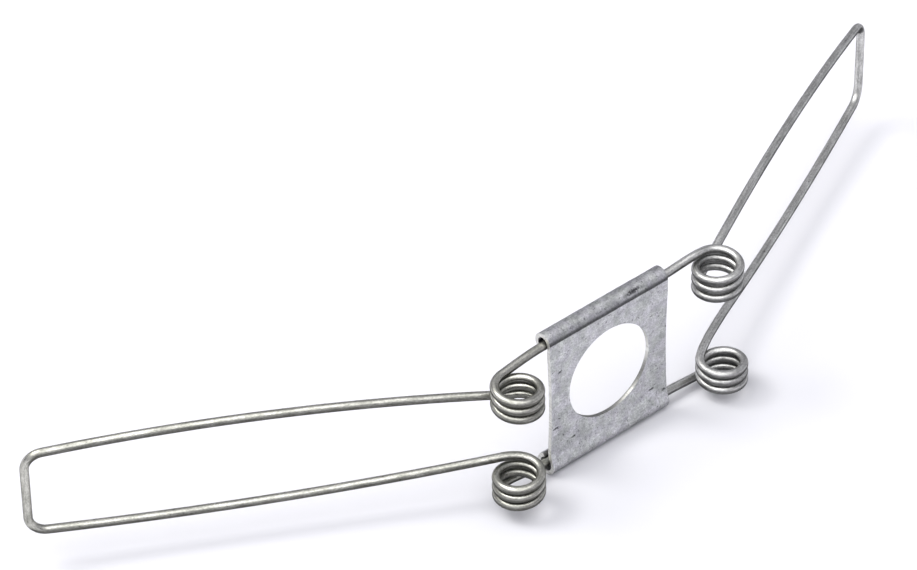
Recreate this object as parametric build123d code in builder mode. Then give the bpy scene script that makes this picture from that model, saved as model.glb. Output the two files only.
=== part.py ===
"""Double torsion spring clip: a pierced sheet-metal plate that carries two wire springs.

The frame is in millimetres. The origin is the centre of the plate's round hole, halfway
through the sheet. +X runs along the plate's rolled edges, +Y points to the back, the side
that the bails fold to, and +Z is up, along the hinge axes of the two bails.

Each spring is one wire: a leg in the upper barrel, a coil, a long U-shaped bail, a second
coil and a leg in the lower barrel. It is cut where its stretches move apart: the legs stay
with the plate, the coils wind and unwind, and the bail swings about the coils' axis.
"""
import os
from math import atan2, cos, degrees, pi, radians, sin

from build123d import *

# Wire and sheet
WIRE_R = 1.0
SHEET_T = 1.0

# Plate
PLATE_W = 36.0  # along the rolled edges
PLATE_MID_Z = -0.6  # the plate's mid-height lies this far from the hole's centre
HOLE_R = 12.3
HOLE_EDGE_BREAK = 0.12
WAIST_DEPTH = 0.4  # the side edges draw in by this much at mid-height
WAIST_HALF_H = 14.0

# Rolled edges, measured from the plate's mid-height and from the sheet's mid-plane
BARREL_R = 3.0  # outside
BARREL_Z = {"upper": 17.2, "lower": 17.8}
BARREL_Y = {"upper": 1.8, "lower": 0.8}
CURL_END_ANGLE = -55.0  # where the curl stops, counted from straight back
LIP_LENGTH = 0.7  # flat end of the curl
CREASE_R = {"upper": 1.0, "lower": 6.0}  # bend between the flat plate and the curl

# Coils
COIL_R = 5.3  # to the wire's centre line
PITCH = 2.6
LEG_Y = 1.3  # the legs' line, behind the sheet's mid-plane
FULL_TURNS = 3  # with the bail spread in line with the plate

# Legs
LEG_BEND_R = 12.0
LEG_LENGTH = 24.0

# Bails
BAIL_LENGTH = {"left": 110.7, "right": 110.9}  # from the coils' tangent points to the end bar
END_HALF_H = 11.3  # half the end bar's height
CORNER_R = 3.5
EXIT_BEND_R = 5.0  # where a rail leaves its coil

# What differs between the two springs, as they are wound and set by hand
COIL_AXIS_X = {"left": 31.0, "right": 30.6}
SPRING_MID_Z = {"left": -0.8, "right": -1.0}
LEG_HALF_SPACING = {"left": 16.8, "right": 18.8}  # at the coils
REST_ANGLE = {"left": 30.0, "right": 25.0}  # bail behind the plate's line, springs free
# Slope of each leg, in degrees towards mid-height, going outwards
LEG_SLOPE = {
    "left": {"upper": 3.0, "lower": 4.0},
    "right": {"upper": -2.0, "lower": -5.0},
}
# Slope of each rail past its exit bend, in degrees away from mid-height
RAIL_RISE = {
    "left": {"upper": 7.0, "lower": 3.6},
    "right": {"upper": 7.5, "lower": 2.4},
}

SIDES = {"left": -1, "right": 1}
LEVELS = {"upper": 1, "lower": -1}
HELIX_SLOPE = degrees(atan2(PITCH, 2 * pi * COIL_R))


def coil_turns(side):
    """A coil has lost, from its full turns, what its bail stands behind the plate's line."""
    return FULL_TURNS - REST_ANGLE[side] / 360


def sweep_wire(path, is_frenet=False):
    """Sweep the round wire along a path, in the part builder that is open."""
    with BuildSketch(Plane(origin=path @ 0, z_dir=path % 0)) as section:
        Circle(WIRE_R)
    sweep(section.sketch, path=path, is_frenet=is_frenet)


def make_plate():
    """One sheet, pierced, with its upper and lower edges curled to the back."""
    mid_r = BARREL_R - SHEET_T / 2
    mid_height = Plane(origin=(0, 0, PLATE_MID_Z), x_dir=(0, 1, 0), z_dir=(1, 0, 0))
    front = Plane(origin=(0, 0, PLATE_MID_Z), x_dir=(1, 0, 0), z_dir=(0, -1, 0))
    with BuildPart() as plate:
        with BuildSketch(mid_height):
            for level, sign in LEVELS.items():
                crease_r = CREASE_R[level]
                run = BARREL_Y[level] + crease_r
                drop = ((mid_r + crease_r) ** 2 - run**2) ** 0.5
                flat_end = BARREL_Z[level] - drop
                meet = degrees(atan2(drop, run))
                with BuildLine():
                    Line((0, 0), (0, sign * flat_end))
                    CenterArc((-crease_r, sign * flat_end), crease_r, 0, sign * meet)
                    curl = CenterArc(
                        (BARREL_Y[level], sign * BARREL_Z[level]),
                        mid_r,
                        sign * (180 + meet),
                        sign * (CURL_END_ANGLE - 180 - meet),
                    )
                    PolarLine(curl @ 1, LIP_LENGTH, direction=curl % 1)
                trace(line_width=SHEET_T)
        extrude(amount=PLATE_W / 2, both=True)
        with BuildSketch(front):
            with BuildLine():
                ThreePointArc(
                    (PLATE_W / 2, WAIST_HALF_H),
                    (PLATE_W / 2 - WAIST_DEPTH, 0),
                    (PLATE_W / 2, -WAIST_HALF_H),
                )
                Line((PLATE_W / 2, -WAIST_HALF_H), (PLATE_W / 2, WAIST_HALF_H))
            make_face()
            mirror(about=Plane.YZ)
        extrude(amount=SHEET_T, both=True, mode=Mode.SUBTRACT)
        with BuildSketch(Plane.XZ):
            Circle(HOLE_R)
        extrude(amount=SHEET_T, both=True, mode=Mode.SUBTRACT)
        rim = plate.edges().filter_by(GeomType.CIRCLE).filter_by(
            lambda edge: abs(edge.radius - HOLE_R) < 0.01
        )
        chamfer(rim, HOLE_EDGE_BREAK)
    return plate


def make_coil(side, level):
    """One coil, from the tangent point of its leg to the tangent point of its rail."""
    turns = coil_turns(side)
    frame = Plane(
        origin=(
            SIDES[side] * COIL_AXIS_X[side],
            LEG_Y - COIL_R,
            SPRING_MID_Z[side] + LEVELS[level] * LEG_HALF_SPACING[side],
        ),
        x_dir=(0, 1, 0),
        z_dir=(0, 0, -LEVELS[level]),
    )
    winding = Helix(PITCH, PITCH * turns, COIL_R, lefthand=SIDES[side] != LEVELS[level])
    with BuildPart() as coil:
        sweep_wire(frame * winding, is_frenet=True)
    return coil


def make_leg(side, level):
    """The straight wire from inside a barrel to the coil, with the small bend between."""
    hand = SIDES[side] * LEVELS[level]
    leg_plane = Plane(origin=(0, LEG_Y, SPRING_MID_Z[side]), x_dir=(1, 0, 0), z_dir=(0, -1, 0))
    start = (SIDES[side] * COIL_AXIS_X[side], LEVELS[level] * LEG_HALF_SPACING[side])
    slope = radians(HELIX_SLOPE)
    inwards = (-SIDES[side] * cos(slope), LEVELS[level] * sin(slope))
    with BuildPart() as leg:
        with BuildLine(leg_plane) as line:
            turn = HELIX_SLOPE - LEG_SLOPE[side][level]
            bend = JernArc(start, inwards, LEG_BEND_R, hand * turn)
            PolarLine(bend @ 1, LEG_LENGTH, direction=bend % 1)
        sweep_wire(line.line)
    return leg


def make_bail(side):
    """Both rails and the end bar, in the upright plane that the bail stands in at rest."""
    rest = radians(REST_ANGLE[side])
    outwards = Vector(SIDES[side] * cos(rest), sin(rest), 0)
    tangent_point = Vector(
        SIDES[side] * (COIL_AXIS_X[side] - COIL_R * sin(rest)),
        LEG_Y - COIL_R + COIL_R * cos(rest),
        SPRING_MID_Z[side],
    )
    bail_plane = Plane(
        origin=tangent_point, x_dir=outwards, z_dir=outwards.cross(Vector(0, 0, 1))
    )
    start_half_h = LEG_HALF_SPACING[side] - PITCH * coil_turns(side)
    length = BAIL_LENGTH[side]
    slope = radians(HELIX_SLOPE)
    with BuildPart() as bail:
        with BuildLine(bail_plane) as line:
            for level, sign in LEVELS.items():
                bend = JernArc(
                    (0, sign * start_half_h),
                    (cos(slope), -sign * sin(slope)),
                    EXIT_BEND_R,
                    sign * (HELIX_SLOPE + RAIL_RISE[side][level]),
                )
                TangentArc(bend @ 1, (length, sign * END_HALF_H), tangent=bend % 1)
            Line((length, END_HALF_H), (length, -END_HALF_H))
            corners = line.vertices().group_by(Axis(tangent_point, outwards))[-1]
            fillet(corners, CORNER_R)
        sweep_wire(line.wires()[0])
    return bail


os.makedirs("parts", exist_ok=True)
pieces = {"plate": make_plate()}
for side in SIDES:
    pieces[f"{side}_bail"] = make_bail(side)
    for level in LEVELS:
        pieces[f"{side}_{level}_leg"] = make_leg(side, level)
        pieces[f"{side}_{level}_coil"] = make_coil(side, level)

for name, piece in pieces.items():
    piece.part.label = name
    export_step(piece.part, f"parts/{name}.step")
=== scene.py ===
"""Looks of a wire spring clip: a pierced, roll-edged sheet with two double torsion springs.

Lengths are in millimetres up to the point where a mesh is made, and the frame is the CAD frame:
the origin is the centre of the round hole, +Y is the back and +Z is up.
"""
from math import atan2, cos, hypot, pi, radians, sin

import bpy
import numpy as np
from mathutils import Matrix, Vector, noise


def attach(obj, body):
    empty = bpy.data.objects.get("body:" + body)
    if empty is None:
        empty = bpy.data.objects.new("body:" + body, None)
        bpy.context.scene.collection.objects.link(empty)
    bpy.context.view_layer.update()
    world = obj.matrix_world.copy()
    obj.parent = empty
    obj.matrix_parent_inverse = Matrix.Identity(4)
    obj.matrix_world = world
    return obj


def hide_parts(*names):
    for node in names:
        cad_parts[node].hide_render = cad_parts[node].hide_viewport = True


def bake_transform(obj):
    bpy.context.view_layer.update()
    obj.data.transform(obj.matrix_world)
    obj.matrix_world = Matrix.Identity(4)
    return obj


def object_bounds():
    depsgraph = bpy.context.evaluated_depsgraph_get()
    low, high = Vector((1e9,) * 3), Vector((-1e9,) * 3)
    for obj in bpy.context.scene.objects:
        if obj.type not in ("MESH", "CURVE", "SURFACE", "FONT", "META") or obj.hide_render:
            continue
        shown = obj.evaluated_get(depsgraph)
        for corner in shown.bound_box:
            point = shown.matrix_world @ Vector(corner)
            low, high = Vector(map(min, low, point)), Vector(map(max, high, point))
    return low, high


MM = 0.001

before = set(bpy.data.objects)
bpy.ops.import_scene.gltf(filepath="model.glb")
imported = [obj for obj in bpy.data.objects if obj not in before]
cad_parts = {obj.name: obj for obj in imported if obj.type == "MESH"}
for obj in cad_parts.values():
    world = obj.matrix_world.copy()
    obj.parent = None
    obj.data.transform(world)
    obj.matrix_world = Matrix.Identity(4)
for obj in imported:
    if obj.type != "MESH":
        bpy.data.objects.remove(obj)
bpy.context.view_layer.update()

# ---------------------------------------------------------------- sizes
WIRE_R = 1.06
END_CHAMFER = 0.15
SHEET_T = 1.0
EDGE_BREAK = 0.11
EDGE_BREAK_ANGLE = 50  # the sheet's edges sharper than this are broken

# Plate
PLATE_HALF_W = 18.15
PLATE_MID_Z = -0.6  # the plate's mid-height lies this far from the hole's centre
HOLE_R = 12.3
WAIST_DEPTH = 0.4  # the side edges draw in by this much at mid-height
WAIST_HALF_H = 14.0

# Rolled edges, measured from the plate's mid-height and from the sheet's mid-plane
BARREL_R = {"upper": 2.5, "lower": 2.8}  # outside
BARREL_Z = {"upper": 17.42, "lower": 18.4}
BARREL_Y = {"upper": 1.98, "lower": 1.3}
CREASE_R = {"upper": 0.2, "lower": 9.0}  # bend between the flat plate and the curl
CURL_END = {"upper": -40.0, "lower": -55.0}  # where the curl stops, counted from straight back
LIP = 0.7  # flat end of the curl

# Springs
SIDES = {"left": -1, "right": 1}
LEVELS = {"upper": 1, "lower": -1}
REST = {"left": 30.0, "right": 25.0}  # bail behind the plate's line
FULL_TURNS = 3  # with the bail in line with the plate
LEG_END_X = 6.8  # where a leg ends inside its barrel
LEG_STRAIGHT = 0.5  # how far past the plate's side it stays straight
CORNER = 4.2  # what a corner takes up of the rail and of the end bar
# Each coil: its axis, the wire's line at the leg, radius, pitch, and how far it leans back
COILS = {
    ("left", "upper"): dict(x=31.0, y=1.2, z=15.5, r=5.15, pitch=2.36, lean=0.02),
    ("left", "lower"): dict(x=30.9, y=1.3, z=-17.2, r=5.15, pitch=2.44, lean=0.02),
    ("right", "upper"): dict(x=30.8, y=1.2, z=17.5, r=5.1, pitch=2.52, lean=0.02),
    ("right", "lower"): dict(x=32.6, y=1.1, z=-19.5, r=5.2, pitch=2.33, lean=-0.02),
}
# Each rail: slope past the exit bend, radius of that bend, length and height to the end bar,
# and the last degrees of its coil that open out to a wider radius
RAILS = {
    ("left", "upper"): dict(rise=7.2, bend=6.0, reach=110.5, end_z=10.5, opening=12, wide=6),
    ("left", "lower"): dict(rise=4.6, bend=10.0, reach=110.2, end_z=-12.0, opening=13, wide=10),
    ("right", "upper"): dict(rise=8.4, bend=7.7, reach=111.7, end_z=10.1, opening=12, wide=7.5),
    ("right", "lower"): dict(rise=4.6, bend=100.0, reach=104.0, end_z=-12.5, opening=11, wide=35),
}
# Where the wire lies inside its barrel: (y, z)
LEG_PLACE = {
    ("left", "upper"): (1.7, 16.2),
    ("left", "lower"): (1.3, -18.5),
    ("right", "upper"): (1.75, 16.55),
    ("right", "lower"): (1.3, -18.9),
}

# How finely the wire is divided: round it, along one turn, and along each other stretch
WIRE_SIDES = 28
ROWS_PER_TURN = 56
ROWS = dict(leg=8, leg_bend=18, exit_bend=14, rail=56, corner=14, end_bar=14)
LEAST_STEP = 0.4  # the last step before a corner is at least this long
# A cubic with end pulls of this much of its chord turns a right angle almost as an arc does
CORNER_PULL = 1.17


# ---------------------------------------------------------------- wire
def unit(v):
    return v / np.linalg.norm(v)


def hermite(start, end, start_pull, end_pull, count):
    """A cubic from start to end. A pull is its direction there, times a share of the chord."""
    t = np.linspace(0, 1, count)[:, None]
    chord = np.linalg.norm(end - start)
    line = (2 * t**3 - 3 * t**2 + 1) * start + (t**3 - 2 * t**2 + t) * chord * start_pull
    return line + (3 * t**2 - 2 * t**3) * end + (t**3 - t**2) * chord * end_pull


def coil_line(side, level):
    """The coil's centre line, from the leg's tangent point to the rail's."""
    coil, rail = COILS[side, level], RAILS[side, level]
    turns = FULL_TURNS - REST[side] / 360
    angle = np.linspace(0, 2 * pi * turns, int(turns * ROWS_PER_TURN))
    # past the opening the wire turns on the wider radius, from the same tangent
    late = np.maximum(angle - (angle[-1] - radians(rail["opening"])), 0)
    early = angle - late
    x = coil["r"] * np.sin(early) + rail["wide"] * (np.sin(angle) - np.sin(early))
    y = coil["r"] * (np.cos(early) - 1) + rail["wide"] * (np.cos(angle) - np.cos(early))
    fall = coil["pitch"] / (2 * pi) * (early + late * rail["wide"] / coil["r"])
    z = coil["z"] - LEVELS[level] * fall + coil["lean"] * y
    return np.stack([SIDES[side] * (coil["x"] + x), coil["y"] + y, z], axis=1)


def leg_line(side, level, coil):
    """Inside the barrel the wire is straight; from its mouth it bends gently to the coil."""
    y, z = LEG_PLACE[side, level]
    mouth = np.array([SIDES[side] * (PLATE_HALF_W + LEG_STRAIGHT), y, z])
    inner = np.array([SIDES[side] * LEG_END_X, y, z])
    outwards = np.array([SIDES[side], 0, 0.0])
    straight = np.linspace(inner, mouth, ROWS["leg"])
    bend = hermite(mouth, coil[0], outwards, unit(coil[1] - coil[0]), ROWS["leg_bend"])
    return np.vstack([straight[:-1], bend[:-1]])


def rail_line(side, level, coil):
    """From the coil: the exit bend, then one long arc to the end bar."""
    rail = RAILS[side, level]
    up = LEVELS[level]
    rest, rise = radians(REST[side]), radians(rail["rise"])
    along = np.array([SIDES[side] * cos(rest), sin(rest), 0])
    start = coil[-1]
    leaving = coil[-1] - coil[-2]
    slope = atan2(-up * leaving[2], float(leaving[:2] @ along[:2]))
    # in the bail's plane: the way out from the coil, and the way from mid-height
    t = np.linspace(-slope, rise, ROWS["exit_bend"])
    out = rail["bend"] * (np.sin(t) + sin(slope))
    away = up * start[2] + rail["bend"] * (cos(slope) - np.cos(t))
    out_left, away_left = rail["reach"] - out[-1], up * rail["end_z"] - away[-1]
    turn = rise - atan2(away_left, out_left)
    arc_r = hypot(out_left, away_left) / (2 * sin(turn))
    t = np.linspace(rise, rise - 2 * turn, ROWS["rail"])[1:]
    out = np.append(out, out[-1] + arc_r * (sin(rise) - np.sin(t)))
    away = np.append(away, away[-1] + arc_r * (np.cos(t) - cos(rise)))
    line = start + np.outer(out, along)
    line[:, 2] = up * away
    return line[1:]


def trimmed(line, length):
    """The line without its last stretch of that length, and the direction it then has."""
    step = np.linalg.norm(np.diff(line, axis=0), axis=1)
    left = np.cumsum(step[::-1])[::-1]
    keep = line[:-1][left > length + LEAST_STEP]
    direction = unit(line[-1] - line[-2])
    return np.vstack([keep, line[-1] - length * direction]), direction


def corner_bend(start, end, way_in, way_out):
    """The points of a corner between its two ends."""
    return hermite(start, end, way_in * CORNER_PULL, way_out * CORNER_PULL, ROWS["corner"])[1:-1]


def spring_line(side):
    """The whole wire, and the row where each stretch starts."""
    upper, lower = (coil_line(side, level) for level in LEVELS)
    upper_rail, upper_way = trimmed(rail_line(side, "upper", upper), CORNER)
    lower_rail, lower_way = trimmed(rail_line(side, "lower", lower), CORNER)
    upper_corner = upper_rail[-1] + CORNER * upper_way
    lower_corner = lower_rail[-1] + CORNER * lower_way
    down = unit(lower_corner - upper_corner)
    bar = np.linspace(
        upper_corner + CORNER * down, lower_corner - CORNER * down, ROWS["end_bar"]
    )
    upper_bend = corner_bend(upper_rail[-1], bar[0], upper_way, down)
    lower_bend = corner_bend(bar[-1], lower_rail[-1], down, -lower_way)
    stretches = [
        leg_line(side, "upper", upper),
        upper,
        np.vstack([upper_rail, upper_bend, bar, lower_bend, lower_rail[::-1]]),
        lower[::-1],
        leg_line(side, "lower", lower)[::-1],
    ]
    starts = np.cumsum([0] + [len(stretch) for stretch in stretches])
    return np.vstack(stretches), starts


def reflected(v, across):
    """v in the mirror that stands square to across. A vanishing step reflects nothing."""
    square = across @ across
    return v - 2 / square * (across @ v) * across if square > 1e-12 else v


def carried_frames(points):
    """Tangents, and two cross directions carried along the wire without twist."""
    tangents = np.gradient(points, axis=0)
    tangents /= np.linalg.norm(tangents, axis=1)[:, None]
    first = [unit(np.cross(tangents[0], [0.0, 0.0, 1.0]))]
    for i in range(1, len(points)):
        chord = points[i] - points[i - 1]
        turned = reflected(tangents[i - 1], chord)
        carried = reflected(reflected(first[-1], chord), tangents[i] - turned)
        first.append(unit(carried - (carried @ tangents[i]) * tangents[i]))
    first = np.array(first)
    return tangents, first, np.cross(tangents, first)


def add_mesh(name, vertices, faces):
    """A smooth-shaded object, from vertices in millimetres."""
    mesh = bpy.data.meshes.new(name)
    mesh.from_pydata((np.array(vertices) * MM).tolist(), [], faces)
    mesh.polygons.foreach_set("use_smooth", [True] * len(faces))
    obj = bpy.data.objects.new(name, mesh)
    bpy.context.scene.collection.objects.link(obj)
    return obj


def wire_piece(name, line, rows, ends=(False, False)):
    """A round wire over those rows of the line. A true wire end gets a small chamfer."""
    points, tangents, first, second, length = (part[rows] for part in line)
    count = len(points)
    angle = np.linspace(0, 2 * pi, WIRE_SIDES, endpoint=False)
    spokes = first[:, None] * np.cos(angle)[:, None] + second[:, None] * np.sin(angle)[:, None]
    vertices = (points[:, None] + WIRE_R * spokes).reshape(-1, 3)
    outwards = spokes.reshape(-1, 3)
    # the place along the wire and across it, which the finish follows
    wire_co = np.stack(
        [
            np.repeat(length, WIRE_SIDES),
            np.tile(WIRE_R * np.cos(angle), count),
            np.tile(WIRE_R * np.sin(angle), count),
        ],
        axis=1,
    )
    # 1 on top of a level stretch and all round an upright one, and below 0 underneath; the finish
    # paints shade on the undersides by it
    level_part = np.repeat(np.hypot(tangents[:, 0], tangents[:, 1]), WIRE_SIDES)
    upward = outwards[:, 2] * level_part + 1 - level_part
    faces, normals = [], []
    for i in range(count - 1):
        here, there = i * WIRE_SIDES, (i + 1) * WIRE_SIDES
        for j in range(WIRE_SIDES):
            k = (j + 1) % WIRE_SIDES
            quad = (here + k, there + k, there + j, here + j)
            faces.append(quad)
            normals.extend(outwards[vertex] for vertex in quad)
    for ring, sign, is_end in ((0, -1, ends[0]), (count - 1, 1, ends[1])):
        base = [ring * WIRE_SIDES + j for j in range(WIRE_SIDES)]
        facing = sign * tangents[ring]
        if is_end:
            inset = points[ring] + (WIRE_R - END_CHAMFER) * spokes[ring] + END_CHAMFER * facing
            tip = [len(vertices) + j for j in range(WIRE_SIDES)]
            for j in range(WIRE_SIDES):
                k = (j + 1) % WIRE_SIDES
                faces.append((base[j], base[k], tip[k], tip[j])[::sign])
                normals.extend(unit(spokes[ring, i] + facing) for i in (j, k, k, j)[::sign])
            vertices = np.vstack([vertices, inset])
            wire_co = np.vstack([wire_co, wire_co[base]])
            upward = np.append(upward, upward[base])
            base = tip
        faces.append(tuple(base[::sign]))
        normals.extend([facing] * WIRE_SIDES)
    obj = add_mesh(name, vertices, faces)
    obj.data.normals_split_custom_set([tuple(normal) for normal in normals])
    along = obj.data.attributes.new("wire_co", "FLOAT_VECTOR", "POINT")
    along.data.foreach_set("vector", (wire_co * MM).astype(np.float32).ravel())
    upward_of = obj.data.attributes.new("upward", "FLOAT", "POINT")
    upward_of.data.foreach_set("value", upward.astype(np.float32))
    return obj


# ---------------------------------------------------------------- plate
# How finely the sheet is divided: along x, up a side, from the hole out, and round the curls
COLUMNS = 97
SIDE_ROWS = 70
RINGS = 22
CURL_ROWS = 56
CREASE_ROWS_LEAST = 4
CREASE_ROWS_PER_MM = 3
# Gentle waves of the sheet: height, pace along x and along the sheet, and the noise's third axis
WAVES = [(0.035, 0.11, 0.14, 3.0), (0.008, 0.6, 0.6, 7.0)]
# Dents and nicks: x, distance along the sheet from its mid-height, depth, half sizes, turn
DENTS = [
    (8.2, 19.0, 0.22, 1.8, 0.34, 0),
    (-8.0, 14.4, 0.035, 9.0, 0.3, 0.5),
    (-16.4, -7.6, 0.16, 0.9, 0.3, 25),
    (13.6, -9.4, 0.14, 0.8, 0.25, 20),
    (17.2, -10.6, 0.14, 0.6, 0.3, 0),
    (-8.5, -14.1, 0.08, 0.5, 0.3, 40),
    (-14.6, 6.2, 0.07, 0.5, 0.35, 10),
]
DENT_REACH = 3  # in half sizes


def curl_profile(level):
    """(y, z, normal y, normal z) from the flat's end to the lip; the normal faces the show side."""
    mid_r = BARREL_R[level] - SHEET_T / 2
    crease, barrel_y, barrel_z = CREASE_R[level], BARREL_Y[level], BARREL_Z[level]
    flat_end = barrel_z - ((mid_r + crease) ** 2 - (barrel_y + crease) ** 2) ** 0.5
    meet = atan2(barrel_z - flat_end, barrel_y + crease)
    crease_rows = CREASE_ROWS_LEAST + int(crease * CREASE_ROWS_PER_MM)
    rows = []
    for t in np.linspace(0, meet, crease_rows)[1:]:
        rows.append((crease * cos(t) - crease, flat_end + crease * sin(t), -cos(t), -sin(t)))
    for t in np.linspace(pi + meet, radians(CURL_END[level]), CURL_ROWS)[1:]:
        rows.append((barrel_y + mid_r * cos(t), barrel_z + mid_r * sin(t), cos(t), sin(t)))
    y, z, ny, nz = rows[-1]
    for step in (0.5, 1.0):
        rows.append((y + LIP * step * nz, z - LIP * step * ny, ny, nz))
    return flat_end, rows


def dent_depth(x, s):
    """How far the sheet's surface lies inwards at a place: gentle waves and the dents."""
    depth = 0
    for height, pace_x, pace_s, seed in WAVES:
        depth += height * noise.noise(Vector((x * pace_x, s * pace_s, seed)))
    for dent_x, dent_s, deepest, half_x, half_s, turn in DENTS:
        c, sn = cos(radians(turn)), sin(radians(turn))
        u = ((x - dent_x) * c + (s - dent_s) * sn) / half_x
        v = (-(x - dent_x) * sn + (s - dent_s) * c) / half_s
        if u * u + v * v < DENT_REACH**2:
            depth += deepest * float(np.exp(-(u * u + v * v)))
    return depth


def half_width(z_mid):
    """Half the plate's width at a height above or below its mid-height."""
    if abs(z_mid) >= WAIST_HALF_H:
        return PLATE_HALF_W
    return PLATE_HALF_W - WAIST_DEPTH * (1 - (z_mid / WAIST_HALF_H) ** 2)


def flat_outline(flat_top, flat_bottom):
    """Round the flat part of the plate: the top, the right side, the bottom, the left side."""
    xs = np.linspace(-1, 1, COLUMNS)
    zs = np.linspace(-flat_bottom, flat_top, SIDE_ROWS)
    outline = [(x * half_width(flat_top), flat_top) for x in xs]
    outline += [(half_width(z), z) for z in zs[::-1][1:]]
    outline += [(x * half_width(flat_bottom), -flat_bottom) for x in xs[::-1][1:]]
    outline += [(-half_width(z), z) for z in zs[1:-1]]
    return outline


def make_sheet():
    """The middle surface of the pierced, roll-edged plate."""
    flat_top, curl_top = curl_profile("upper")
    flat_bottom, curl_bottom = curl_profile("lower")
    vertices, faces = [], []

    def put(x, s, y, z_mid, ny, nz):
        depth = dent_depth(x, s)
        vertices.append((x, y - ny * depth, z_mid - nz * depth + PLATE_MID_Z))
        return len(vertices) - 1

    # the flat part, in rings from the hole's edge to the outline
    outline = flat_outline(flat_top, flat_bottom)
    around = len(outline)
    outer = None
    for ring in range(RINGS + 1):
        t = ring / RINGS
        row = []
        for x, z in outline:
            a = atan2(z + PLATE_MID_Z, x)
            ring_x = (1 - t) * HOLE_R * cos(a) + t * x
            ring_z = (1 - t) * (HOLE_R * sin(a) - PLATE_MID_Z) + t * z
            row.append(put(ring_x, ring_z, 0, ring_z, -1, 0))
        if outer is not None:
            for i in range(around):
                k = (i + 1) % around
                faces.append((outer[i], outer[k], row[k], row[i]))
        outer = row

    # the two curls, in rows from the flat part to the lip
    top = outer[:COLUMNS]
    bottom_start = COLUMNS + SIDE_ROWS - 2
    bottom = outer[bottom_start : bottom_start + COLUMNS][::-1]
    for sign, start, flat_end, curl in (
        (1, top, flat_top, curl_top),
        (-1, bottom, flat_bottom, curl_bottom),
    ):
        below, s = start, flat_end
        last_y, last_z = 0, flat_end
        for y, z, ny, nz in curl:
            s += hypot(y - last_y, z - last_z)
            last_y, last_z = y, z
            row = [
                put(x * half_width(s), sign * s, y, sign * z, ny, sign * nz)
                for x in np.linspace(-1, 1, COLUMNS)
            ]
            for i in range(COLUMNS - 1):
                faces.append((below[i], below[i + 1], row[i + 1], row[i])[::sign])
            below = row
    return add_mesh("plate_sheet", vertices, faces)


def thicken(obj):
    """The sheet's thickness, with the cut edges in the second material and lightly broken."""
    solid = obj.modifiers.new("thickness", "SOLIDIFY")
    solid.thickness = SHEET_T * MM
    solid.offset = 0
    solid.use_even_offset = True
    solid.material_offset_rim = 1
    edge = obj.modifiers.new("edges", "BEVEL")
    edge.width = EDGE_BREAK * MM
    edge.segments = 2
    edge.limit_method = "ANGLE"
    edge.angle_limit = radians(EDGE_BREAK_ANGLE)
    edge.harden_normals = False
    graph = bpy.context.evaluated_depsgraph_get()
    made = bpy.data.meshes.new_from_object(obj.evaluated_get(graph))
    obj.modifiers.clear()
    obj.data = made


# ---------------------------------------------------------------- materials
def node(tree, kind, links=(), **values):
    """A new node; a value whose name is a property is set there, and otherwise on the socket."""
    made = tree.nodes.new("ShaderNode" + kind)
    for key, value in values.items():
        if hasattr(made, key):
            setattr(made, key, value)
        else:
            made.inputs[key.replace("_", " ")].default_value = value
    for source, socket in links:
        tree.links.new(source, made.inputs[socket])
    return made


def ramp(tree, source, stops):
    """The source through a colour ramp. A stop's colour is one number or three."""
    made = node(tree, "ValToRGB", [(source, "Fac")])
    while len(made.color_ramp.elements) < len(stops):
        made.color_ramp.elements.new(0.5)
    for element, (place, colour) in zip(made.color_ramp.elements, stops):
        element.position = place
        element.color = (*colour, 1) if isinstance(colour, tuple) else (colour, colour, colour, 1)
    return made.outputs["Color"]


def mix(tree, fac, a, b, blend="MIX"):
    """Two colours mixed. The factor and each colour are a value or a socket."""
    made = tree.nodes.new("ShaderNodeMix")
    made.data_type = "RGBA"
    made.blend_type = blend
    for value, socket in ((fac, 0), (a, 6), (b, 7)):
        if isinstance(value, bpy.types.NodeSocket):
            tree.links.new(value, made.inputs[socket])
        else:
            made.inputs[socket].default_value = value if socket == 0 else (*value, 1)
    return made.outputs[2]


def shaded(tree, colour, *shades):
    """The colour multiplied by each (factor, shade) in turn."""
    for fac, shade in shades:
        colour = mix(tree, fac, colour, shade, "MULTIPLY")
    return colour


def speckle(tree, vector, scale, detail=2.0, roughness=0.5):
    """Noise over the vector, at one scale or at one for each axis."""
    if isinstance(scale, tuple):
        vector = node(tree, "Mapping", [(vector, "Vector")], Scale=scale).outputs["Vector"]
        scale = 1.0
    return node(
        tree, "TexNoise", [(vector, "Vector")], Scale=scale, Detail=detail, Roughness=roughness
    ).outputs["Fac"]


def z_of(tree, vector):
    return node(tree, "SeparateXYZ", [(vector, "Vector")]).outputs["Z"]


def add_bump(tree, shader, height, strength, distance):
    bump = node(tree, "Bump", [(height, "Height")], Strength=strength, Distance=distance)
    tree.links.new(bump.outputs["Normal"], shader.inputs["Normal"])


def new_material(name):
    """A bare metal, its node tree and its shader."""
    material = bpy.data.materials.new(name)
    material.use_nodes = True
    tree = material.node_tree
    shader = next(n for n in tree.nodes if n.type == "BSDF_PRINCIPLED")
    shader.inputs["Metallic"].default_value = 1.0
    shader.inputs["Specular Tint"].default_value = (0.3, 0.3, 0.31, 1)
    return material, tree, shader


# Dark marks on the sheet: centre, and half sizes
MARKS = [
    ((8.2, 0.3, 18.65), (4.6, 2.0, 1.15)),
    ((-16.5, -0.5, -8.1), (2.6, 1.5, 0.85)),
    ((13.2, -0.5, -13.2), (2.4, 1.5, 0.8)),
    ((17.2, -0.5, -15.4), (1.5, 1.5, 0.9)),
    ((-15.2, -0.5, 8.1), (1.2, 1.5, 0.9)),
    ((-11.0, -0.5, -13.4), (1.2, 1.5, 0.8)),
]
# Painted shade along the upper crease, as a dark line: it sets in between these heights, and its
# shade goes by the upward part of the surface's direction
CREASE_SHADE_Z = (13.0, 15.5)
CREASE_SHADE = [
    (0.03, 1.0), (0.08, 0.3), (0.15, 0.16), (0.27, 0.19), (0.37, 0.32), (0.46, 0.68), (0.56, 1.0)
]


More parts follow.
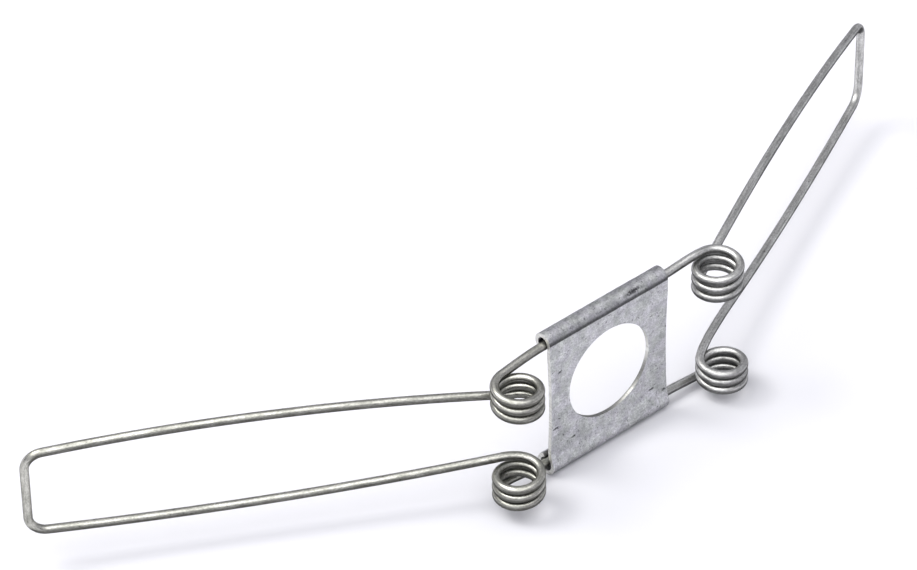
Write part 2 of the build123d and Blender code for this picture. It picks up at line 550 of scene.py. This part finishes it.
def with_crease_shade(tree, colour, where):
    """Painted shade: a dark line where the upper curl turns up from the flat."""
    facing = node(tree, "NewGeometry").outputs["Normal"]
    line = ramp(tree, z_of(tree, facing), CREASE_SHADE)
    low, high = (z * MM for z in CREASE_SHADE_Z)
    upper = node(tree, "MapRange", [(z_of(tree, where), "Value")], From_Min=low, From_Max=high)
    return mix(tree, upper.outputs["Result"], colour, shaded(tree, colour, (1.0, line)))


def with_marks(tree, colour, where, flecks):
    """Each mark is a dark ellipsoid, with a ragged edge where the flecks cross it."""
    for centre, half in MARKS:
        inside = node(
            tree, "Mapping", [(where, "Vector")],
            Scale=[1 / (h * MM) for h in half], Location=[-c / h for c, h in zip(centre, half)],
        ).outputs["Vector"]
        away = node(tree, "VectorMath", [(inside, 0)], operation="LENGTH").outputs["Value"]
        ragged = node(tree, "Math", [(away, 0), (flecks, 1)], operation="ADD").outputs["Value"]
        colour = shaded(tree, colour, (1.0, ramp(tree, ragged, [(0.75, 0.25), (1.0, 1.0)])))
    return colour


def galvanised(name, tint, dark, rough):
    """Zinc-coated sheet: cloudy patches, faint crystals, rolling streaks, flecks and pits, dark
    marks, and painted shade along the upper crease.
    """
    material, tree, shader = new_material(name)
    where = node(tree, "TexCoord").outputs["Object"]
    clouds = speckle(tree, where, 300.0, detail=6.0, roughness=0.7)
    cast = speckle(tree, where, 330.0, detail=3.0, roughness=0.6)
    flecks = speckle(tree, where, 2200.0, detail=4.0, roughness=0.75)
    crystals = node(tree, "TexVoronoi", [(where, "Vector")], Scale=620.0).outputs["Color"]
    streaks = speckle(tree, where, (160.0, 160.0, 1500.0), detail=4.0, roughness=0.65)
    pits = ramp(tree, speckle(tree, where, 1500.0), [(0.28, 0.35), (0.37, 1.0)])
    colour = shaded(
        tree,
        mix(tree, ramp(tree, clouds, [(0.35, 0.0), (0.65, 1.0)]), dark, tint),
        (0.8, ramp(tree, cast, [(0.38, (0.97, 1.0, 0.96)), (0.6, (0.985, 0.975, 1.02))])),
        (0.8, ramp(tree, flecks, [(0.34, 0.62), (0.5, 1.0), (0.66, 1.35)])),
        (0.6, ramp(tree, crystals, [(0.1, 0.82), (0.9, 1.1)])),
        (0.6, ramp(tree, streaks, [(0.3, 0.86), (0.62, 1.06)])),
        (0.85, pits),
    )
    # painted shade along the upper crease
    colour = with_crease_shade(tree, colour, where)
    colour = with_marks(tree, colour, where, flecks)
    tree.links.new(colour, shader.inputs["Base Color"])
    gloss = ramp(tree, speckle(tree, where, 900.0), [(0.3, rough[0]), (0.7, rough[1])])
    tree.links.new(gloss, shader.inputs["Roughness"])
    grain = speckle(tree, where, 4200.0, detail=3.0, roughness=0.7)
    height = mix(tree, 0.5, pits, grain)
    add_bump(tree, shader, mix(tree, 0.35, height, streaks), strength=0.32, distance=0.00012)
    return material


def drawn_wire(name, tint, dark, rough):
    """Drawn, zinc-coated wire: fine lines along it, cloudy patches, grain, a few nicks, and painted
    shade on the undersides of level stretches.
    """
    material, tree, shader = new_material(name)
    along = node(tree, "Attribute", attribute_name="wire_co").outputs["Vector"]
    lines = speckle(tree, along, (110.0, 2600.0, 2600.0), detail=3.0, roughness=0.6)
    clouds = speckle(tree, along, (260.0, 620.0, 620.0), detail=4.0, roughness=0.6)
    grain = speckle(tree, along, (1700.0, 3200.0, 3200.0))
    nicks = speckle(tree, along, (900.0, 1500.0, 1500.0), detail=1.0)
    nicks = ramp(tree, nicks, [(0.22, 0.45), (0.34, 1.0)])
    upward = node(tree, "Attribute", attribute_name="upward").outputs["Fac"]
    colour = shaded(
        tree,
        mix(tree, ramp(tree, clouds, [(0.36, 0.0), (0.62, 1.0)]), dark, tint),
        (0.7, ramp(tree, lines, [(0.34, 0.55), (0.5, 0.95), (0.66, 1.2)])),
        (0.7, nicks),
        # painted shade: the undersides of level stretches are darker
        (1.0, ramp(tree, upward, [(0.18, 0.28), (0.52, 1.0)])),
        (0.7, ramp(tree, grain, [(0.34, 0.7), (0.66, 1.22)])),
    )
    tree.links.new(colour, shader.inputs["Base Color"])
    gloss = ramp(tree, clouds, [(0.3, rough[1]), (0.7, rough[0])])
    tree.links.new(gloss, shader.inputs["Roughness"])
    add_bump(tree, shader, mix(tree, 0.4, lines, nicks), strength=0.5, distance=0.00008)
    return material


def sheared(name):
    """The sheet's bare cut edges: paler and warmer, with fine lines across the thickness, and a
    painted dark reflection on the cuts that face up.
    """
    material, tree, shader = new_material(name)
    where = node(tree, "TexCoord").outputs["Object"]
    facing = node(tree, "NewGeometry").outputs["Normal"]
    lines = speckle(tree, where, (2400.0, 300.0, 2400.0), detail=3.0)
    colour = shaded(
        tree,
        ramp(tree, lines, [(0.3, (0.62, 0.62, 0.59)), (0.65, (0.84, 0.84, 0.8))]),
        # painted dark reflection: the cuts that face up are darker than the others
        (1.0, ramp(tree, z_of(tree, facing), [(0.1, 1.0), (0.4, 0.42)])),
    )
    tree.links.new(colour, shader.inputs["Base Color"])
    gloss = ramp(tree, lines, [(0.3, 0.5), (0.7, 0.36)])
    tree.links.new(gloss, shader.inputs["Roughness"])
    add_bump(tree, shader, lines, strength=0.3, distance=0.0001)
    return material


# ---------------------------------------------------------------- the pieces
SHEET_FINISH = galvanised(
    "galvanised_sheet", (0.66, 0.66, 0.665), (0.45, 0.45, 0.46), rough=(0.34, 0.52)
)
WIRE_FINISH = {
    "left": drawn_wire(
        "left_wire_finish", (0.57, 0.565, 0.515), (0.4, 0.4, 0.355), rough=(0.26, 0.42)
    ),
    "right": drawn_wire(
        "right_wire_finish", (0.67, 0.67, 0.65), (0.48, 0.48, 0.465), rough=(0.32, 0.48)
    ),
}
SPRING_PARTS = ["upper_leg", "upper_coil", "bail", "lower_coil", "lower_leg"]

plate = make_sheet()
plate.data.materials.append(SHEET_FINISH)
plate.data.materials.append(sheared("sheared_edge"))
thicken(plate)
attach(plate, "plate_and_legs")
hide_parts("plate")

for side in SIDES:
    points, starts = spring_line(side)
    steps = np.linalg.norm(np.diff(points, axis=0), axis=1)
    line = (points, *carried_frames(points), np.append(0, np.cumsum(steps)))
    for part, start, next_start in zip(SPRING_PARTS, starts, starts[1:]):
        ends = (part == "upper_leg", part == "lower_leg")
        # each stretch runs on to the first row of the next, so that their rims meet
        piece = wire_piece(f"{side}_{part}_wire", line, slice(start, next_start + 1), ends)
        piece.data.materials.append(WIRE_FINISH[side])
        if part.endswith("coil"):
            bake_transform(piece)
        elif part == "bail":
            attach(piece, f"{side}_bail")
        else:
            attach(piece, "plate_and_legs")
        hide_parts(f"{side}_{part}")

# ---------------------------------------------------------------- floor, light, camera
FLOOR_HALF = 8.0  # metres
FLOOR_GAP = 0.00005  # metres below the lowest point


def make_floor(z):
    mesh = bpy.data.meshes.new("floor")
    corners = [(-1, -1), (1, -1), (1, 1), (-1, 1)]
    mesh.from_pydata([(x * FLOOR_HALF, y * FLOOR_HALF, z) for x, y in corners], [], [(0, 1, 2, 3)])
    obj = bpy.data.objects.new("floor", mesh)
    bpy.context.scene.collection.objects.link(obj)
    paper, _, shader = new_material("paper")
    shader.inputs["Metallic"].default_value = 0.0
    shader.inputs["Roughness"].default_value = 0.9
    shader.inputs["Base Color"].default_value = (0.7, 0.7, 0.73, 1)
    mesh.materials.append(paper)
    return obj


def area_light(name, place, aim, size, power, colour):
    data = bpy.data.lights.new(name, "AREA")
    data.shape = "DISK"
    data.size = size
    data.energy = power
    data.color = colour
    lamp = bpy.data.objects.new(name, data)
    lamp.location = place
    lamp.rotation_euler = (Vector(aim) - Vector(place)).to_track_quat("-Z", "Y").to_euler()
    bpy.context.scene.collection.objects.link(lamp)


CEILING = (-0.35, -0.15, 0.92)  # towards the middle of a bright ceiling, a little to the left
# Its brightness, by the cosine of the angle away from its middle
CEILING_GLOW = [(0.58, 0.0), (0.68, 0.15), (0.78, 0.65), (0.9, 1.7), (1.0, 2.1)]
# The walls' colour, by the sine of the elevation: pale at the horizon and dark above it
WALLS = [
    (0.0, (0.9, 0.9, 0.95)),
    (0.06, (0.8, 0.8, 0.85)),
    (0.1, (0.22, 0.22, 0.25)),
    (0.5, (0.42, 0.42, 0.45)),
    (0.85, (0.36, 0.36, 0.39)),
]
ROOM_STRENGTH = 1.25


def make_room():
    """The studio's walls and ceiling, as a world."""
    world = bpy.data.worlds.new("studio")
    world.use_nodes = True
    bpy.context.scene.world = world
    tree = world.node_tree
    direction = node(tree, "TexCoord").outputs["Generated"]
    towards = node(tree, "VectorMath", [(direction, 0)], operation="DOT_PRODUCT")
    towards.inputs[1].default_value = Vector(CEILING).normalized()
    walls = ramp(tree, z_of(tree, direction), WALLS)
    ceiling = ramp(tree, towards.outputs["Value"], CEILING_GLOW)
    background = next(n for n in tree.nodes if n.type == "BACKGROUND")
    tree.links.new(mix(tree, 1.0, walls, ceiling, "ADD"), background.inputs["Color"])
    background.inputs["Strength"].default_value = ROOM_STRENGTH


LENS = 159.0
# The camera stands to the left of the front by the azimuth, looks down by the elevation, and
# is rolled. Metres from it to the hole's centre: ahead, to the right and up
AZIMUTH, ELEVATION, ROLL = 39.78, 38.97, -1.6
AHEAD, OFF_RIGHT, OFF_UP = 0.9316, 0.03436, -0.01942


def place_camera():
    azimuth, elevation, roll = radians(AZIMUTH), radians(ELEVATION), radians(ROLL)
    level_right = Vector((cos(azimuth), -sin(azimuth), 0))
    heading = Vector((sin(azimuth), cos(azimuth), 0))
    forward = heading * cos(elevation) - Vector((0, 0, sin(elevation)))
    steep_up = heading * sin(elevation) + Vector((0, 0, cos(elevation)))
    right = level_right * cos(roll) + steep_up * sin(roll)
    up = steep_up * cos(roll) - level_right * sin(roll)
    data = bpy.data.cameras.new("camera")
    data.lens = LENS
    data.clip_start = 0.02
    data.clip_end = 50
    camera = bpy.data.objects.new("camera", data)
    place = -OFF_RIGHT * right - OFF_UP * up - AHEAD * forward
    axes = Matrix((right, up, -forward)).transposed().to_4x4()
    camera.matrix_world = Matrix.Translation(place) @ axes
    bpy.context.scene.collection.objects.link(camera)
    bpy.context.scene.camera = camera


low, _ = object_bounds()
make_floor(low[2] - FLOOR_GAP)
area_light("key", (-0.6, 0.65, 1.25), (0, 0, 0), size=0.75, power=10, colour=(1.0, 0.99, 0.96))
make_room()
place_camera()
bpy.context.scene.view_settings.view_transform = "Standard"
